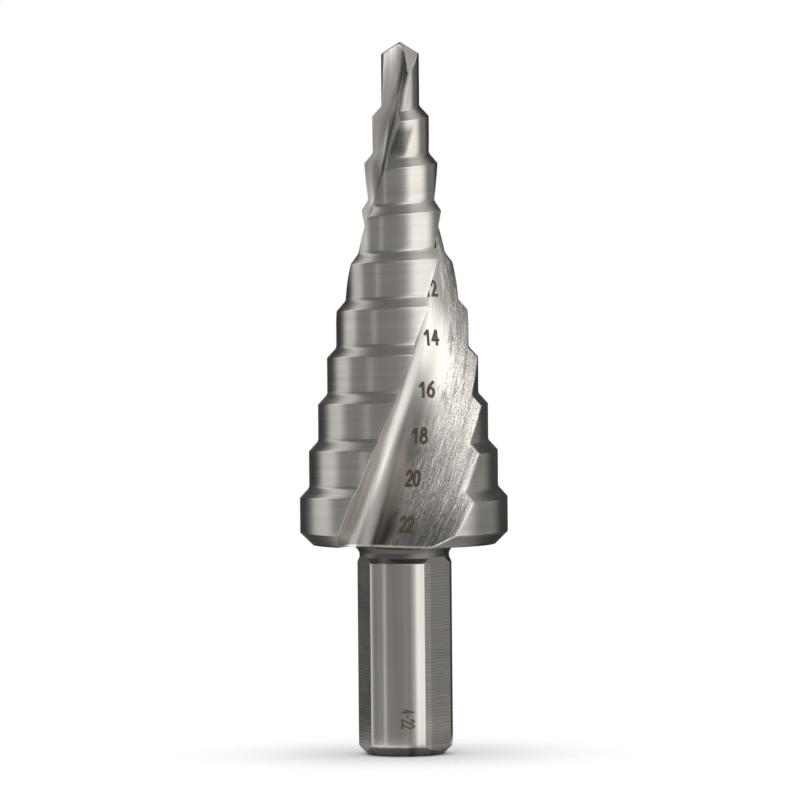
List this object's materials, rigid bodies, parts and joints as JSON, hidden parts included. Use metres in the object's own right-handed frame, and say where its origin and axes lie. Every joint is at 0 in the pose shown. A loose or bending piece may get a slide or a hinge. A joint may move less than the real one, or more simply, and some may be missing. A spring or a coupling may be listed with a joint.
{
  "type": "step drill bit",
  "caption": "Stepped conical drill bit with a ground point, spiral chip flutes, chamfered step lands and a round shank with driving flats, for drilling sheet to several sizes.",
  "frame": {"origin": "centre of the flat end of the shank, on the drill's axis", "axes": "+Z along the axis from the shank to the tip; -Y faces the viewer of the picture"},
  "size_m": [0.022, 0.0192, 0.0754],
  "materials": {
    "ground_steel": "ground and brushed bright tool steel"
  },
  "bodies": {
    "root": {"step_drill_bit": "ground_steel"}
  },
  "joints": []
}
